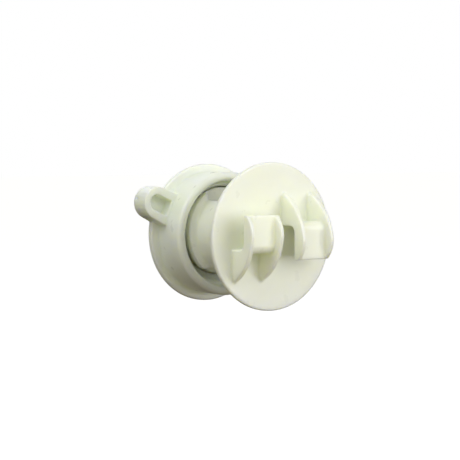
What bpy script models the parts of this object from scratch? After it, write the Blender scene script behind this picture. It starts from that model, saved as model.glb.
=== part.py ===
"""Screw-clamp insulator for a round fence post: a front body holds the wire, and a nut grips the post.

Frame: +Z up along the post, -Y the side the disc and its hooks face, +X to the right.
The origin is on the post's axis, level with the axis of the stem. The constants below are in millimetres,
and give positions along Y from the disc's front face.
"""
from math import atan2, cos, pi, radians, sin, sqrt

import bmesh
import bpy
from mathutils import Matrix

MM = 0.001

# The post that the part is clamped on here
POST_RADIUS = 4.75

# Front disc
DISC_RADIUS = 22.25
DISC_THICKNESS = 1.6
DISC_EDGE = 0.25

# Stem: a tube behind the disc, with a window through it for the post
STEM_RADIUS = 12.5
STEM_CORE_RADIUS = 9.3
CORE_FLOOR = 1.6
CORE_CORNER = 1.0
STEM_END = 37.0
STEM_EDGE = 0.4
STEM_FILLET = 1.2
WINDOW_HALF_WIDTH = 6.7
WINDOW_SEAT = 12.0
WINDOW_BACK = 26.0
WINDOW_CORNER = 1.5
AXIS_DEPTH = WINDOW_SEAT + POST_RADIUS

# Thread: right-handed, single start
PITCH = 9.0
THREAD_RADIUS = 14.4
THREAD_CREST = 2.6
THREAD_ROOT = 4.4
THREAD_START = radians(-148)
THREAD_FIRST_Y = 22.45
THREAD_FADE = radians(12)
THREAD_STEP = radians(6)
THREAD_LEAST = 0.02

# Wire hooks: two ribs with a finger between them, one hook above and one below the other
HOOK_TIP = 13.2
HOOK_CROWN_Z = -0.8
HOOK_CROWN = 10.1
HOOK_END = -6.8
HOOK_END_HEIGHT = 7.25
HOOK_FRONT_MIDDLE = (6.4, 7.5)
HOOK_NOSE_MIDDLE = (-4.4, 9.15)
SLOT_HEIGHT = 5.9
SLOT_TOP = 3.3
SLOT_CORNER = 2.0
FINGER_FRONT = 7.3
FINGER_TOP = 4.4
FINGER_CORNER = 2.4
# X of each rib's two faces, at the disc and at the crown
INNER_RIB = ((3.1, 5.45), (3.6, 4.8))
OUTER_RIB = ((12.9, 15.3), (14.3, 15.5))
FINGER_SPAN = (4.2, 14.6)
# The ribs' pointed ends: their length, and where across the rib their sections lie, from -1 to 1
RIB_POINT = 2.8
RIB_SECTIONS = (-1.0, -0.8, -0.45, 0.0, 0.45, 0.8, 1.0)

# Clamp nut
NUT_FRONT = 21.5
NUT_BACK = 35.0
NUT_RIM_RADIUS = 19.2
NUT_WALL_RADIUS = 18.9
NUT_RIM_ROUND = 1.4
NUT_MOUTH_RADIUS = 16.4
NUT_MOUTH_ROUND = 1.0
NUT_MOUTH_END = 25.6
NUT_MOUTH_INNER = 16.1
NUT_BORE_RADIUS = 14.8
FLANGE_RADIUS = 21.55
FLANGE_FRONT = 33.1
FLANGE_FILLET = 0.7
NUT_EDGE = 0.3
NUT_THREAD_RADIUS = 12.9
NUT_THREAD_CREST = 0.8
NUT_THREAD_ROOT = 2.6
NUT_THREAD_OFFSET = 6.1
NUT_THREAD_MARGIN = 0.35

# Thumb wings on the nut
WING_ANGLE = radians(155.8)
WING_HALF_WIDTH = 5.0
WING_ROOT_HALF_WIDTH = 5.3
WING_ROOT = 17.4
WING_TIP = 28.8
WING_FRONT = 28.7
WING_POCKET_HALF = 2.5
WING_POCKET_TIP = 26.7
WING_POCKET_ROOT = 19.6
WING_FLOOR = 3.0

EMBED = 0.4
OVERCUT = 2.0
ROUND_SEGMENTS = 96


def clear_scene():
    for obj in list(bpy.data.objects):
        bpy.data.objects.remove(obj, do_unlink=True)


def plastic(name, colour):
    """Glossy moulded plastic in one colour."""
    material = bpy.data.materials.new(name)
    material.use_nodes = True
    shader = material.node_tree.nodes["Principled BSDF"]
    shader.inputs["Base Color"].default_value = (*colour, 1.0)
    shader.inputs["Roughness"].default_value = 0.35
    shader.inputs["Metallic"].default_value = 0.0
    return material


def make_object(name, mesh_builder, *args):
    """A new object, from a shape in millimetres behind the disc's face to the part's frame in metres."""
    bm = bmesh.new()
    mesh_builder(bm, *args)
    to_frame = Matrix.Scale(MM, 4) @ Matrix.Translation((0, -AXIS_DEPTH, 0))
    bmesh.ops.transform(bm, matrix=to_frame, verts=bm.verts)
    bmesh.ops.recalc_face_normals(bm, faces=bm.faces)
    mesh = bpy.data.meshes.new(name)
    bm.to_mesh(mesh)
    bm.free()
    obj = bpy.data.objects.new(name, mesh)
    bpy.context.scene.collection.objects.link(obj)
    return obj


def combine(target, operand, operation):
    """Join or cut with an operand that is hidden from the finished model."""
    modifier = target.modifiers.new(operand.name, "BOOLEAN")
    modifier.operation = operation
    modifier.solver = "EXACT"
    modifier.object = operand
    operand.display_type = "WIRE"
    operand.hide_render = True


def finish(obj, material):
    obj.data.materials.append(material)
    obj.data.shade_smooth()
    obj.data.set_sharp_from_angle(angle=radians(30))


def arc(centre, radius, start, end, steps):
    """Points of an arc in the plane, with the angles in degrees."""
    angles = [radians(start + (end - start) * i / steps) for i in range(steps + 1)]
    return [(centre[0] + radius * cos(a), centre[1] + radius * sin(a)) for a in angles]


def arc_through(first, middle, last, steps):
    """Points of the circular arc that runs from first through middle to last."""
    (ax, ay), (bx, by), (cx, cy) = first, middle, last
    double_area = 2 * (ax * (by - cy) + bx * (cy - ay) + cx * (ay - by))
    a2, b2, c2 = ax * ax + ay * ay, bx * bx + by * by, cx * cx + cy * cy
    ux = (a2 * (by - cy) + b2 * (cy - ay) + c2 * (ay - by)) / double_area
    uy = (a2 * (cx - bx) + b2 * (ax - cx) + c2 * (bx - ax)) / double_area
    radius = sqrt((ax - ux) ** 2 + (ay - uy) ** 2)
    start = atan2(ay - uy, ax - ux)
    sweep = atan2(cy - uy, cx - ux) - start
    turn = (bx - ax) * (cy - ay) - (by - ay) * (cx - ax)
    if turn > 0 > sweep:
        sweep += 2 * pi
    if turn < 0 < sweep:
        sweep -= 2 * pi
    angles = [start + sweep * i / steps for i in range(steps + 1)]
    return [(ux + radius * cos(a), uy + radius * sin(a)) for a in angles]


def skin(bm, rings, closed=False):
    """A solid through rings of points. The last ring joins the first if closed, or else both are capped."""
    rings = [[bm.verts.new(p) for p in ring] for ring in rings]
    pairs = list(zip(rings, rings[1:]))
    if closed:
        pairs.append((rings[-1], rings[0]))
    else:
        bm.faces.new(rings[0])
        bm.faces.new(rings[-1])
    for here, after in pairs:
        for j in range(len(here)):
            k = (j + 1) % len(here)
            bm.faces.new((here[j], here[k], after[k], after[j]))


def turned(bm, profile, closed):
    """A solid of revolution about Y. The profile is of (radius, y), and reaches the axis if not closed."""
    angles = [2 * pi * i / ROUND_SEGMENTS for i in range(ROUND_SEGMENTS)]
    skin(bm, [[(r * sin(a), y, r * cos(a)) for a in angles] for r, y in profile], closed)


def helix_y(angle):
    """Y of the middle of the stem's thread, where angle is about Y, 0 at the top and positive towards +X."""
    return THREAD_FIRST_Y + PITCH * (angle - THREAD_START) / (2 * pi)


def thread_ridge(bm, inner, outer, inner_width, outer_width, start, end, offset, fade):
    """A helical ridge. Its free edge is at outer, which fades towards inner at both ends."""
    count = round((end - start) / THREAD_STEP)
    sections = []
    for i in range(count + 1):
        angle = start + (end - start) * i / count
        height = max(THREAD_LEAST, min(1.0, (angle - start) / fade, (end - angle) / fade))
        free = inner + (outer - inner) * height
        width = inner_width + (outer_width - inner_width) * height
        y = helix_y(angle) + offset
        corners = ((inner, -inner_width), (free, -width), (free, width), (inner, inner_width))
        sections.append([(r * sin(angle), y + w / 2, r * cos(angle)) for r, w in corners])
    skin(bm, sections)


def disc_profile():
    edge = DISC_EDGE
    return [
        (DISC_RADIUS - edge, 0), (DISC_RADIUS, edge), (DISC_RADIUS, DISC_THICKNESS - edge),
        (DISC_RADIUS - edge, DISC_THICKNESS),
    ]


def stem_profile():
    foot, edge = DISC_THICKNESS, STEM_EDGE
    fillet = arc((STEM_RADIUS + STEM_FILLET, foot + STEM_FILLET), STEM_FILLET, 270, 180, 4)
    outside = [(STEM_RADIUS, STEM_END - edge), (STEM_RADIUS - edge, STEM_END)]
    return [(STEM_RADIUS + STEM_FILLET, foot - EMBED), *fillet, *outside]


def core_profile():
    bottom = DISC_THICKNESS + CORE_FLOOR
    return [
        (STEM_CORE_RADIUS - CORE_CORNER, bottom), (STEM_CORE_RADIUS, bottom + CORE_CORNER),
        (STEM_CORE_RADIUS, STEM_END + OVERCUT),
    ]


def window_outline():
    """Outline in (x, y) of the post's window: a half-round seat in front, a straight end behind."""
    half, corner = WINDOW_HALF_WIDTH, WINDOW_CORNER
    seat = arc((0, WINDOW_SEAT + half), half, 180, 360, 24)
    right = arc((half - corner, WINDOW_BACK - corner), corner, 0, 90, 4)
    left = arc((corner - half, WINDOW_BACK - corner), corner, 90, 180, 4)
    return seat + right + left


def window_cutter(bm):
    reach = THREAD_RADIUS + OVERCUT
    skin(bm, [[(x, y, z) for x, y in window_outline()] for z in (-reach, reach)])


def slot_outline():
    """The wire slot's wall and rounded corner, in (z, height)."""
    return arc((SLOT_TOP - SLOT_CORNER, SLOT_HEIGHT - SLOT_CORNER), SLOT_CORNER, 90, 0, 5)


def rib_outline():
    """Outline in (z, height above the disc) of a rib, for the hook that is joined to the disc at its top."""
    crown = (HOOK_CROWN_Z, HOOK_CROWN)
    front = arc_through((HOOK_TIP, 0), HOOK_FRONT_MIDDLE, crown, 12)
    nose = arc_through(crown, HOOK_NOSE_MIDDLE, (HOOK_END, HOOK_END_HEIGHT), 6)
    foot = [(SLOT_TOP, -EMBED), (HOOK_TIP, -EMBED)]
    return front + nose[1:] + [(HOOK_END, SLOT_HEIGHT)] + slot_outline() + foot


def rib(bm, faces, turn):
    """One rib. turn is 1 for the right hook, and -1 for the left one, half a turn about Y from it."""
    (inner_foot, outer_foot), (inner_crown, outer_crown) = faces
    rings = []
    for across in RIB_SECTIONS:
        share = (1 + across) / 2
        foot = inner_foot + (outer_foot - inner_foot) * share
        draft = (inner_crown + (outer_crown - inner_crown) * share - foot) / HOOK_CROWN
        reach = HOOK_TIP - RIB_POINT * (1 - sqrt(1 - across * across))
        rings.append([(turn * (foot + draft * h), -h, turn * min(z, reach)) for z, h in rib_outline()])
    skin(bm, rings)


def finger(bm, turn):
    """The bar between the two ribs, with its shelf back to the disc."""
    centre = (FINGER_TOP - FINGER_CORNER, FINGER_FRONT - FINGER_CORNER)
    corner = arc(centre, FINGER_CORNER, 0, 90, 8)
    outline = [(FINGER_TOP, -EMBED)] + corner + [(HOOK_END, FINGER_FRONT), (HOOK_END, SLOT_HEIGHT)]
    outline += slot_outline() + [(SLOT_TOP, -EMBED)]
    skin(bm, [[(turn * x, -h, turn * z) for z, h in outline] for x in FINGER_SPAN])


def front_body(material):
    body = make_object("front_body", turned, disc_profile(), False)
    combine(body, make_object("stem", turned, stem_profile(), False), "UNION")
    end = THREAD_START + 2 * pi * (STEM_END - STEM_EDGE - THREAD_ROOT / 2 - THREAD_FIRST_Y) / PITCH
    ridge = (STEM_RADIUS - EMBED, THREAD_RADIUS, THREAD_ROOT, THREAD_CREST)
    ridge += (THREAD_START, end, 0.0, THREAD_FADE)
    combine(body, make_object("stem_thread", thread_ridge, *ridge), "UNION")
    combine(body, make_object("stem_core", turned, core_profile(), False), "DIFFERENCE")
    combine(body, make_object("post_window", window_cutter), "DIFFERENCE")
    for side, turn in (("right", 1), ("left", -1)):
        combine(body, make_object(side + "_inner_rib", rib, INNER_RIB, turn), "UNION")
        combine(body, make_object(side + "_outer_rib", rib, OUTER_RIB, turn), "UNION")
        combine(body, make_object(side + "_finger", finger, turn), "UNION")
    finish(body, material)
    return body


def nut_profile():
    rim = arc((NUT_RIM_RADIUS - NUT_RIM_ROUND, NUT_FRONT + NUT_RIM_ROUND), NUT_RIM_ROUND, 270, 360, 6)
    crease = arc(
        (NUT_WALL_RADIUS + FLANGE_FILLET, FLANGE_FRONT - FLANGE_FILLET), FLANGE_FILLET, 180, 90, 4
    )
    lip = (NUT_MOUTH_RADIUS + NUT_MOUTH_ROUND, NUT_FRONT + NUT_MOUTH_ROUND)
    mouth = arc(lip, NUT_MOUTH_ROUND, 180, 270, 5)
    edge = NUT_EDGE
    flange = [
        (FLANGE_RADIUS - edge, FLANGE_FRONT), (FLANGE_RADIUS, FLANGE_FRONT + edge),
        (FLANGE_RADIUS, NUT_BACK - edge), (FLANGE_RADIUS - edge, NUT_BACK),
    ]
    bore = [
        (NUT_BORE_RADIUS, NUT_BACK), (NUT_BORE_RADIUS, NUT_MOUTH_END),
        (NUT_MOUTH_INNER, NUT_MOUTH_END),
    ]
    return mouth + rim + crease + flange + bore


def lobe(bm, angle, half_width, tip, root_half_width, root, front, back):
    """A lug with a half-round end that stands out from the nut's axis, from front to back along Y."""
    end = arc((tip - half_width, 0), half_width, -90, 90, 12)
    outline = [(root, -root_half_width)] + end + [(root, root_half_width)]
    spots = [(a * cos(angle) - c * sin(angle), a * sin(angle) + c * cos(angle)) for a, c in outline]
    skin(bm, [[(x, y, z) for x, z in spots] for y in (front, back)])


def clamp_nut(material):
    nut = make_object("clamp_nut", turned, nut_profile(), True)
    lug = (WING_HALF_WIDTH, WING_TIP, WING_ROOT_HALF_WIDTH, WING_ROOT, WING_FRONT, NUT_BACK)
    pocket = (WING_POCKET_HALF, WING_POCKET_TIP, WING_POCKET_HALF, WING_POCKET_ROOT)
    pocket += (WING_FRONT - OVERCUT, NUT_BACK - WING_FLOOR)
    for i, angle in enumerate((WING_ANGLE, WING_ANGLE + pi)):
        combine(nut, make_object(f"wing_{i + 1}", lobe, angle, *lug), "UNION")
        combine(nut, make_object(f"wing_pocket_{i + 1}", lobe, angle, *pocket), "DIFFERENCE")
    start, end = nut_thread_span()
    ridge = (NUT_BORE_RADIUS + EMBED, NUT_THREAD_RADIUS, NUT_THREAD_ROOT, NUT_THREAD_CREST)
    ridge += (start, end, NUT_THREAD_OFFSET, THREAD_FADE)
    combine(nut, make_object("nut_thread", thread_ridge, *ridge), "UNION")
    finish(nut, material)
    return nut


def nut_thread_span():
    """Angles between which the nut's ridge lies wholly inside the threaded length of its bore."""
    margin = NUT_THREAD_ROOT / 2 + NUT_THREAD_MARGIN
    first = NUT_MOUTH_END + margin - NUT_THREAD_OFFSET - THREAD_FIRST_Y
    last = NUT_BACK - margin - NUT_THREAD_OFFSET - THREAD_FIRST_Y
    return [THREAD_START + 2 * pi * reach / PITCH for reach in (first, last)]


clear_scene()
front_body(plastic("ivory_plastic_body", (0.80, 0.80, 0.68)))
clamp_nut(plastic("ivory_plastic_nut", (0.74, 0.78, 0.68)))
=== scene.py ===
"""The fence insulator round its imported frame: two translucent ivory plastic mouldings, in studio light."""

import math

import bmesh
import bpy
import numpy as np
from mathutils import Matrix, Vector


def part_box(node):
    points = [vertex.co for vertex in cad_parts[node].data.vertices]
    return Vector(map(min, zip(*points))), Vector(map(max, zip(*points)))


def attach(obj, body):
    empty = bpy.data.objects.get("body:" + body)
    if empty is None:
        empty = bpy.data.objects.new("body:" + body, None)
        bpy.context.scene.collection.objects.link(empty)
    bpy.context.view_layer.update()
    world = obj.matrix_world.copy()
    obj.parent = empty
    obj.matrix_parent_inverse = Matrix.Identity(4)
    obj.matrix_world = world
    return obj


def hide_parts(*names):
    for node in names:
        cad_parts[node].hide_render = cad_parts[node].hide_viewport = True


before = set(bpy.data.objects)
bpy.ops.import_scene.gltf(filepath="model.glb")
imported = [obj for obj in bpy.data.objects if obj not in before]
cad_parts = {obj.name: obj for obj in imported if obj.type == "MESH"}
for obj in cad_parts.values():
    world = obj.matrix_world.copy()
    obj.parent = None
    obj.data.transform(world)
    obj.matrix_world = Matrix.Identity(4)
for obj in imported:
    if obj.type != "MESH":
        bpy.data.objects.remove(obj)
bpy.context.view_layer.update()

MM = 0.001

# Mesh: the grid it is made on, and the share of its faces that is kept
WELD = 0.002 * MM
VOXEL = 0.2 * MM
KEPT_FACES = 0.3
# Softening: the passes, how far a vertex moves towards its neighbours' mean in each, and for the passes
# that fill inside corners, the least outward move and how often the normals are worked out again
BODY_FILLETS = 16
NUT_FILLETS = 1
SMOOTH_PASSES = 4
SMOOTH_STEP = 0.5
CREASE = 0.003 * MM
NORMALS_EVERY = 6

# From the hooks' crowns back to the disc's front, and from there to its back
HOOK_CROWN = 10.1 * MM
DISC_THICKNESS = 1.6 * MM
# Moulding marks, all guessed apart from the place of the gate mark. Angles are from the top.
EJECTOR_RING = 18.2 * MM
EJECTOR_RADIUS = 1.5 * MM
EJECTOR_DEPTH = 0.16 * MM
DISC_MARK_ANGLES = (35, 145, 215, 325)
NUT_MARK_ANGLES = (45, 135, 225, 315)
GATE_PLACE = (-26.5 * MM, 16.6 * MM, 11.2 * MM)
GATE_DIRECTION = (-0.96, 0, 0.28)
GATE_RADIUS = 0.6 * MM
GATE_DEPTH = 0.4 * MM
PIN_SEGMENTS = 32

# Plastic: each tint's light and dark colour, and the noises by (scale per metre, detail)
BODY_TINT = ((0.862, 0.892, 0.768), (0.838, 0.86, 0.73))
NUT_TINT = ((0.855, 0.896, 0.8), (0.828, 0.872, 0.76))
IOR = 1.51
SCATTER_WEIGHT = 0.8
SCATTER_RADIUS = (1.0, 0.95, 0.6)
SCATTER_SCALE = 3.4 * MM
FLOW_NOISE = (70, 3)
FLOW_DISTORTION = 0.6
TINT_DARK_AT = 0.3
TINT_LIGHT_AT = 0.7
GLOSS_NOISE = (260, 4)
ROUGHNESS = (0.23, 0.36)
GRAIN_NOISE = (900, 5)
GRAIN_ROUGHNESS = 0.55
GRAIN_STRENGTH = 0.35
GRAIN_DEPTH = 0.03 * MM

# Studio. The dome is brightest in the direction FRONT_LEFT, and FAR_SIDE of that opposite it.
FRONT_LEFT = (-0.7, -0.7, 0.14)
FAR_SIDE = 0.1
# The dome's colour at heights from 0, straight down, to 1, straight up
DOME = ((0.15, (0.235, 0.19, 0.13)), (0.5, (0.44, 0.42, 0.36)), (0.85, (0.5, 0.5, 0.48)))
# Name, azimuth and elevation in degrees, distance and size in metres, power in watts, colour
SOFTBOXES = (
    ("front_box", 22, 12, 0.45, (0.45, 0.5), 1.74, (1.0, 0.995, 0.97)),
    ("top_left_box", -78, 51, 0.45, (0.35, 0.4), 1.06, (0.98, 1.0, 1.01)),
    ("left_box", -60, 4, 0.45, (0.15, 0.15), 0.09, (1.0, 1.0, 1.0)),
    ("back_box", 165, 35, 0.5, (0.4, 0.3), 0.45, (1.0, 1.0, 0.98)),
)
FLOOR_HEIGHT = -0.085
FLOOR_SIZE = 6.0
FLOOR_GREY = 0.9
FLOOR_ROUGHNESS = 0.9
FLOOR_GLOW = 0.75

# Camera, in metres, with a lens and sensor in millimetres
CAMERA_PLACE = (-0.27563, -0.36861, 0.02483)
CAMERA_TARGET = (0, -0.004036, 0)
LENS = 117.39
SENSOR = 36
SHIFT_X = -0.0374
SHIFT_Y = 0.0107
CLIP_NEAR = 0.01
CLIP_FAR = 50


# ---------------------------------------------------------------- mouldings


def new_object(name, data):
    """A new object in the scene, for a mesh, a light or a camera."""
    obj = bpy.data.objects.new(name, data)
    bpy.context.scene.collection.objects.link(obj)
    return obj


def mesh_from(bm, name):
    """A new mesh from a bmesh, which is freed."""
    mesh = bpy.data.meshes.new(name)
    bm.to_mesh(mesh)
    bm.free()
    return mesh


def welded_copy(node):
    """The CAD node's mesh as one closed surface."""
    bm = bmesh.new()
    bm.from_mesh(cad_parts[node].data)
    bmesh.ops.remove_doubles(bm, verts=bm.verts, dist=WELD)
    bmesh.ops.recalc_face_normals(bm, faces=bm.faces)
    return mesh_from(bm, node + "_skin")


def pin(centre, direction, radius, depth):
    """A short cylinder that reaches the depth to each side of the centre, as a cutter."""
    bm = bmesh.new()
    bmesh.ops.create_cone(
        bm, cap_ends=True, segments=PIN_SEGMENTS, radius1=radius, radius2=radius, depth=2 * depth
    )
    turn = Vector(direction).to_track_quat("Z", "Y").to_matrix().to_4x4()
    bmesh.ops.transform(bm, matrix=Matrix.Translation(Vector(centre)) @ turn, verts=bm.verts)
    return new_object("pin", mesh_from(bm, "pin"))


def ejector_mark(y, angle):
    """The cutter for one faint round mark, on a face that looks back, at an angle from the top."""
    a = math.radians(angle)
    centre = (EJECTOR_RING * math.sin(a), y, EJECTOR_RING * math.cos(a))
    return pin(centre, (0, 1, 0), EJECTOR_RADIUS, EJECTOR_DEPTH)


def apply_modifiers(obj):
    """Give the object the mesh that its modifiers make, and take them off."""
    graph = bpy.context.evaluated_depsgraph_get()
    mesh = bpy.data.meshes.new_from_object(obj.evaluated_get(graph))
    obj.modifiers.clear()
    obj.data = mesh


def soften(mesh, fillet_passes):
    """Fill the mesh's inside corners, then even it out and round its edges a little, as a mould does."""
    count = len(mesh.vertices)
    co = np.empty(count * 3)
    mesh.vertices.foreach_get("co", co)
    co = co.reshape(-1, 3)
    edges = np.empty(len(mesh.edges) * 2, dtype=np.int64)
    mesh.edges.foreach_get("vertices", edges)
    a, b = edges.reshape(-1, 2).T
    degree = np.bincount(a, minlength=count) + np.bincount(b, minlength=count)
    normal = np.empty(count * 3)
    for step in range(fillet_passes + SMOOTH_PASSES):
        mean = np.empty_like(co)
        for k in range(3):
            total = np.bincount(a, co[b, k], count) + np.bincount(b, co[a, k], count)
            mean[:, k] = total / degree
        move = SMOOTH_STEP * (mean - co)
        if step < fillet_passes:
            if step % NORMALS_EVERY == 0:
                mesh.vertices.foreach_set("co", co.ravel())
                mesh.update()
                mesh.vertices.foreach_get("normal", normal)
            outward = (move * normal.reshape(-1, 3)).sum(axis=1)
            move[outward < CREASE] = 0
        co += move
    mesh.vertices.foreach_set("co", co.ravel())
    mesh.update()


def keep_inside(mesh, low, high):
    """Move any vertex that is past a box back to its side."""
    co = np.empty(len(mesh.vertices) * 3)
    mesh.vertices.foreach_get("co", co)
    inside = np.clip(co.reshape(-1, 3), low, high)
    mesh.vertices.foreach_set("co", inside.ravel())
    mesh.update()


def moulding(node, cutters, fillet_passes, material):
    """A node's shape with its moulding marks and softened edges. Each node is a body of the same name."""
    obj = new_object(node + "_moulding", welded_copy(node))
    for cutter in cutters:
        modifier = obj.modifiers.new("mark", "BOOLEAN")
        modifier.operation = "DIFFERENCE"
        modifier.solver = "EXACT"
        modifier.object = cutter
    remesh = obj.modifiers.new("remesh", "REMESH")
    remesh.mode = "VOXEL"
    remesh.voxel_size = VOXEL
    apply_modifiers(obj)
    for cutter in cutters:
        bpy.data.objects.remove(cutter)
    soften(obj.data, fillet_passes)
    thinned = obj.modifiers.new("thinned", "DECIMATE")
    thinned.ratio = KEPT_FACES
    apply_modifiers(obj)
    keep_inside(obj.data, *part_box(node))
    obj.data.shade_smooth()
    obj.data.materials.clear()
    obj.data.materials.append(material)
    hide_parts(node)
    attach(obj, node)


# ---------------------------------------------------------------- material


def noise(tree, scale, detail):
    """A noise texture that stays on its piece."""
    place = tree.nodes.new("ShaderNodeTexCoord")
    texture = tree.nodes.new("ShaderNodeTexNoise")
    texture.inputs["Scale"].default_value = scale
    texture.inputs["Detail"].default_value = detail
    tree.links.new(place.outputs["Object"], texture.inputs["Vector"])
    return texture


def set_stops(ramp, stops):
    """Give each stop of a colour ramp its position and colour."""
    for element, (position, colour) in zip(ramp.elements, stops):
        element.position = position
        element.color = (*colour, 1)


def ivory(name, light, dark):
    """Translucent ivory plastic with a little flow variation, uneven gloss and a faint moulded grain."""
    material = bpy.data.materials.new(name)
    material.use_nodes = True
    tree = material.node_tree
    nodes, links = tree.nodes, tree.links
    shader = nodes["Principled BSDF"]
    shader.inputs["IOR"].default_value = IOR
    shader.inputs["Subsurface Weight"].default_value = SCATTER_WEIGHT
    shader.inputs["Subsurface Radius"].default_value = SCATTER_RADIUS
    shader.inputs["Subsurface Scale"].default_value = SCATTER_SCALE

    flow = noise(tree, *FLOW_NOISE)
    flow.inputs["Distortion"].default_value = FLOW_DISTORTION
    tint = nodes.new("ShaderNodeValToRGB")
    set_stops(tint.color_ramp, ((TINT_DARK_AT, dark), (TINT_LIGHT_AT, light)))
    links.new(flow.outputs["Fac"], tint.inputs["Fac"])
    links.new(tint.outputs["Color"], shader.inputs["Base Color"])

    gloss = noise(tree, *GLOSS_NOISE)
    spread = nodes.new("ShaderNodeMapRange")
    spread.inputs["To Min"].default_value, spread.inputs["To Max"].default_value = ROUGHNESS
    links.new(gloss.outputs["Fac"], spread.inputs["Value"])
    links.new(spread.outputs["Result"], shader.inputs["Roughness"])

    grain = noise(tree, *GRAIN_NOISE)
    grain.inputs["Roughness"].default_value = GRAIN_ROUGHNESS
    bump = nodes.new("ShaderNodeBump")
    bump.inputs["Strength"].default_value = GRAIN_STRENGTH
    bump.inputs["Distance"].default_value = GRAIN_DEPTH
    links.new(grain.outputs["Fac"], bump.inputs["Height"])
    links.new(bump.outputs["Normal"], shader.inputs["Normal"])
    return material


# ---------------------------------------------------------------- studio


def aim(obj, position, target):
    """Put a light or a camera at a place, and turn it to its target."""
    position, target = Vector(position), Vector(target)
    obj.location = position
    obj.rotation_mode = "QUATERNION"
    obj.rotation_quaternion = (target - position).to_track_quat("-Z", "Y")


def softbox(name, azimuth, elevation, distance, size, power, colour):
    """An area light aimed at the object. Azimuth 0 is the front, -Y, and 90 the right, +X."""
    data = bpy.data.lights.new(name, "AREA")
    data.shape = "RECTANGLE"
    data.size, data.size_y = size
    data.energy = power
    data.color = colour
    lamp = new_object(name, data)
    a, e = math.radians(azimuth), math.radians(elevation)
    out = Vector((math.sin(a) * math.cos(e), -math.cos(a) * math.cos(e), math.sin(e)))
    aim(lamp, out * distance, (0, 0, 0))
    lamp.visible_camera = False


def studio_world():
    """A white background for the camera, and a dimmer, uneven dome for the light on the object."""
    world = bpy.data.worlds.new("studio")
    bpy.context.scene.world = world
    world.use_nodes = True
    nodes, links = world.node_tree.nodes, world.node_tree.links
    nodes.clear()
    place = nodes.new("ShaderNodeTexCoord")
    split = nodes.new("ShaderNodeSeparateXYZ")
    links.new(place.outputs["Generated"], split.inputs["Vector"])
    height = nodes.new("ShaderNodeMapRange")
    height.inputs["From Min"].default_value = -1
    height.inputs["From Max"].default_value = 1
    links.new(split.outputs["Z"], height.inputs["Value"])
    ramp = nodes.new("ShaderNodeValToRGB")
    ramp.color_ramp.elements.new(0.5)
    set_stops(ramp.color_ramp, DOME)
    links.new(height.outputs["Result"], ramp.inputs["Fac"])
    dome = nodes.new("ShaderNodeBackground")
    facing = nodes.new("ShaderNodeVectorMath")
    facing.operation = "DOT_PRODUCT"
    facing.inputs[1].default_value = FRONT_LEFT
    links.new(place.outputs["Generated"], facing.inputs[0])
    side = nodes.new("ShaderNodeMapRange")
    side.inputs["From Min"].default_value = -1
    side.inputs["From Max"].default_value = 1
    side.inputs["To Min"].default_value = FAR_SIDE
    links.new(facing.outputs["Value"], side.inputs["Value"])
    links.new(side.outputs["Result"], dome.inputs["Strength"])
    links.new(ramp.outputs["Color"], dome.inputs["Color"])
    white = nodes.new("ShaderNodeBackground")
    white.inputs["Color"].default_value = (1, 1, 1, 1)
    kind = nodes.new("ShaderNodeLightPath")
    mix = nodes.new("ShaderNodeMixShader")
    links.new(kind.outputs["Is Camera Ray"], mix.inputs["Fac"])
    links.new(dome.outputs["Background"], mix.inputs[1])
    links.new(white.outputs["Background"], mix.inputs[2])
    out = nodes.new("ShaderNodeOutputWorld")
    links.new(mix.outputs["Shader"], out.inputs["Surface"])


def pale_floor():
    """A plain pale floor that the camera sees, hidden from diffuse, glossy and transmitted light."""
    bm = bmesh.new()
    bmesh.ops.create_grid(bm, x_segments=1, y_segments=1, size=FLOOR_SIZE)
    floor = new_object("floor", mesh_from(bm, "floor"))
    floor.location.z = FLOOR_HEIGHT
    material = bpy.data.materials.new("pale_floor")
    material.use_nodes = True
    shader = material.node_tree.nodes["Principled BSDF"]
    shader.inputs["Base Color"].default_value = (FLOOR_GREY, FLOOR_GREY, FLOOR_GREY, 1)
    shader.inputs["Roughness"].default_value = FLOOR_ROUGHNESS
    shader.inputs["Emission Color"].default_value = (1, 1, 1, 1)
    shader.inputs["Emission Strength"].default_value = FLOOR_GLOW
    floor.data.materials.append(material)
    floor.visible_diffuse = False
    floor.visible_glossy = False
    floor.visible_transmission = False


# ---------------------------------------------------------------- build

disc_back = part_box("front_body")[0].y + HOOK_CROWN + DISC_THICKNESS
nut_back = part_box("clamp_nut")[1].y
disc_marks = [ejector_mark(disc_back, angle) for angle in DISC_MARK_ANGLES]
nut_marks = [ejector_mark(nut_back, angle) for angle in NUT_MARK_ANGLES]
nut_marks.append(pin(GATE_PLACE, GATE_DIRECTION, GATE_RADIUS, GATE_DEPTH))
moulding("front_body", disc_marks, BODY_FILLETS, ivory("ivory_body", *BODY_TINT))
moulding("clamp_nut", nut_marks, NUT_FILLETS, ivory("ivory_nut", *NUT_TINT))

camera = new_object("camera", bpy.data.cameras.new("camera"))
camera.data.lens = LENS
camera.data.sensor_width = SENSOR
camera.data.shift_x = SHIFT_X
camera.data.shift_y = SHIFT_Y
camera.data.clip_start = CLIP_NEAR
camera.data.clip_end = CLIP_FAR
aim(camera, CAMERA_PLACE, CAMERA_TARGET)
bpy.context.scene.camera = camera

studio_world()
for box in SOFTBOXES:
    softbox(*box)
pale_floor()

scene = bpy.context.scene
scene.view_settings.view_transform = "Standard"
scene.view_settings.look = "None"
scene.view_settings.exposure = 0
scene.view_settings.gamma = 1
